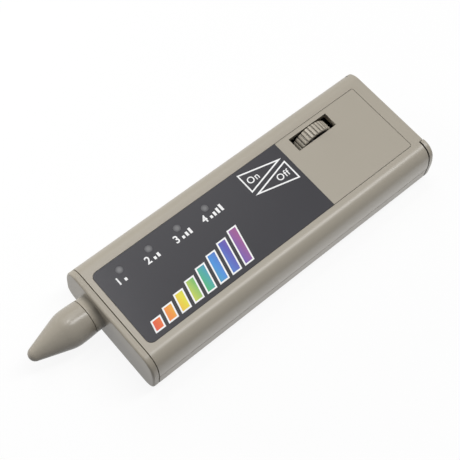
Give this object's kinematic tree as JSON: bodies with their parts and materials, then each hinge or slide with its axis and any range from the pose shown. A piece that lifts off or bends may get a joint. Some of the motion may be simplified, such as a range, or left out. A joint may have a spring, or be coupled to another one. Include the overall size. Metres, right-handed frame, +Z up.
{
  "type": "diamond tester pen",
  "caption": "Pocket gemstone tester: flat rounded two-shell body with a pull-off cone cap over a sprung probe, lamps on a dark label and a thumbwheel switch.",
  "frame": {"origin": "middle of the outer box on the base, where the body rests", "axes": "+X from the probe to the rear along the body, +Y to the side with the lamps and wheel, +Z up out of the face"},
  "size_m": [0.1408, 0.042, 0.0177],
  "materials": {
    "shell_plastic": "satin moulded, fine grain",
    "label_film": "satin printed film",
    "lamp_lens": "translucent, smooth",
    "board_laminate": "solder mask",
    "black_plastic": "moulded",
    "blue_plastic": "moulded",
    "led_amber": "clear tinted",
    "led_green": "clear tinted",
    "led_red": "clear tinted",
    "led_blue": "clear tinted",
    "steel": "zinc plated",
    "nickel": "nickel plated strip",
    "brass": "turned",
    "copper": "turned copper",
    "ceramic": "fired ceramic",
    "cell_wrap": "plain wrapped can",
    "wire": "insulated wire"
  },
  "bodies": {
    "case": {"top_shell": "shell_plastic", "bottom_shell": "shell_plastic", "front_end_cap": "shell_plastic", "rear_end_cap": "shell_plastic", "face_plate": "shell_plastic", "face_label": "label_film", "lamp_windows": "lamp_lens", "switch_body": "black_plastic", "switch_terminals": "brass", "circuit_board": "board_laminate", "indicator_led_1": "led_amber", "indicator_led_2": "led_green", "indicator_led_3": "led_red", "indicator_led_4": "led_blue", "led_spacers": "black_plastic", "controller_chip": "black_plastic", "amplifier_chip": "black_plastic", "buzzer": "black_plastic", "capacitors": "blue_plastic", "resistors": "black_plastic", "trimmer": "blue_plastic", "regulator": "black_plastic", "board_screws": "steel", "case_screws": "steel", "battery_cell_left": "cell_wrap", "battery_cell_right": "cell_wrap", "battery_contacts": "nickel", "battery_link": "nickel", "battery_springs": "nickel", "battery_leads": "wire", "probe_sleeve": "brass", "probe_spring": "steel", "probe_bush": "black_plastic", "probe_leads": "wire"},
    "wheel": {"thumbwheel": "shell_plastic", "wheel_shaft": "steel", "wheel_screw": "steel"},
    "probe_tip": {"probe_needle": "copper", "probe_heater": "ceramic"},
    "cap": {"probe_cap": "shell_plastic"},
    "door": {"battery_door": "shell_plastic"}
  },
  "joints": [
    {"name": "wheel_turn", "type": "hinge", "parent": "case", "child": "wheel", "pos_m": [0.04403, 0.0099, 0.0102], "axis": [0, 1, 0], "range_deg": [0, 270]},
    {"name": "probe_press", "type": "slide", "parent": "case", "child": "probe_tip", "axis": [1, 0, 0], "range_m": [0, 0.0012], "stiffness_N_per_m": 300, "springref_m": -0.0004, "deforming": ["probe_spring"]},
    {"name": "cap_pull", "type": "slide", "parent": "case", "child": "cap", "axis": [-1, 0, 0], "range_m": [0, 0.03]},
    {"name": "door_slide", "type": "slide", "parent": "case", "child": "door", "axis": [1, 0, 0], "range_m": [0, 0.058]}
  ]
}
